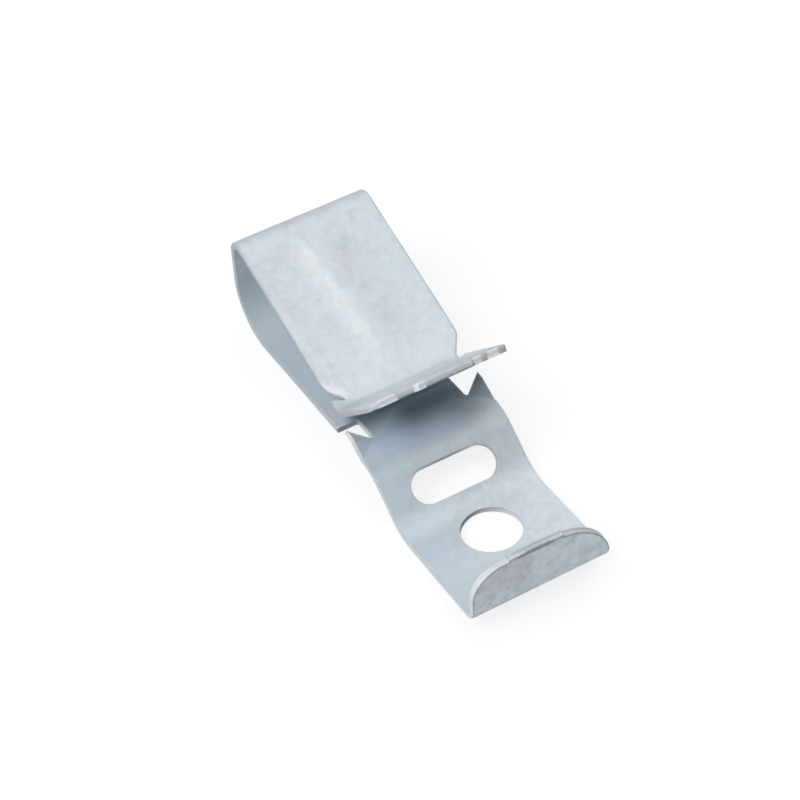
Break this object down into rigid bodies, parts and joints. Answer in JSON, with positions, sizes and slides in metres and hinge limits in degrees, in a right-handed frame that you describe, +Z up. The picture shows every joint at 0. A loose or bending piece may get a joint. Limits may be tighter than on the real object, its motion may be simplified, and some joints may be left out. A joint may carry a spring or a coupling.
{
  "type": "girder clip",
  "caption": "Folded sheet-steel girder clip: a toothed spring jaw grips a flange edge, and a flat tail with a round hole, a slot and a stop lip carries the load.",
  "frame": {"origin": "middle of the foot of the clip's box, as it lies on a table on its ramp bend and its back bend", "axes": "+X towards the stop lip at the tail's end, +Y across the strip, +Z up"},
  "size_m": [0.0626, 0.02, 0.0185],
  "materials": {
    "zinc_plated_steel": "satin bright zinc plating over spring steel"
  },
  "bodies": {
    "root": {"girder_clip": "zinc_plated_steel"}
  },
  "joints": []
}
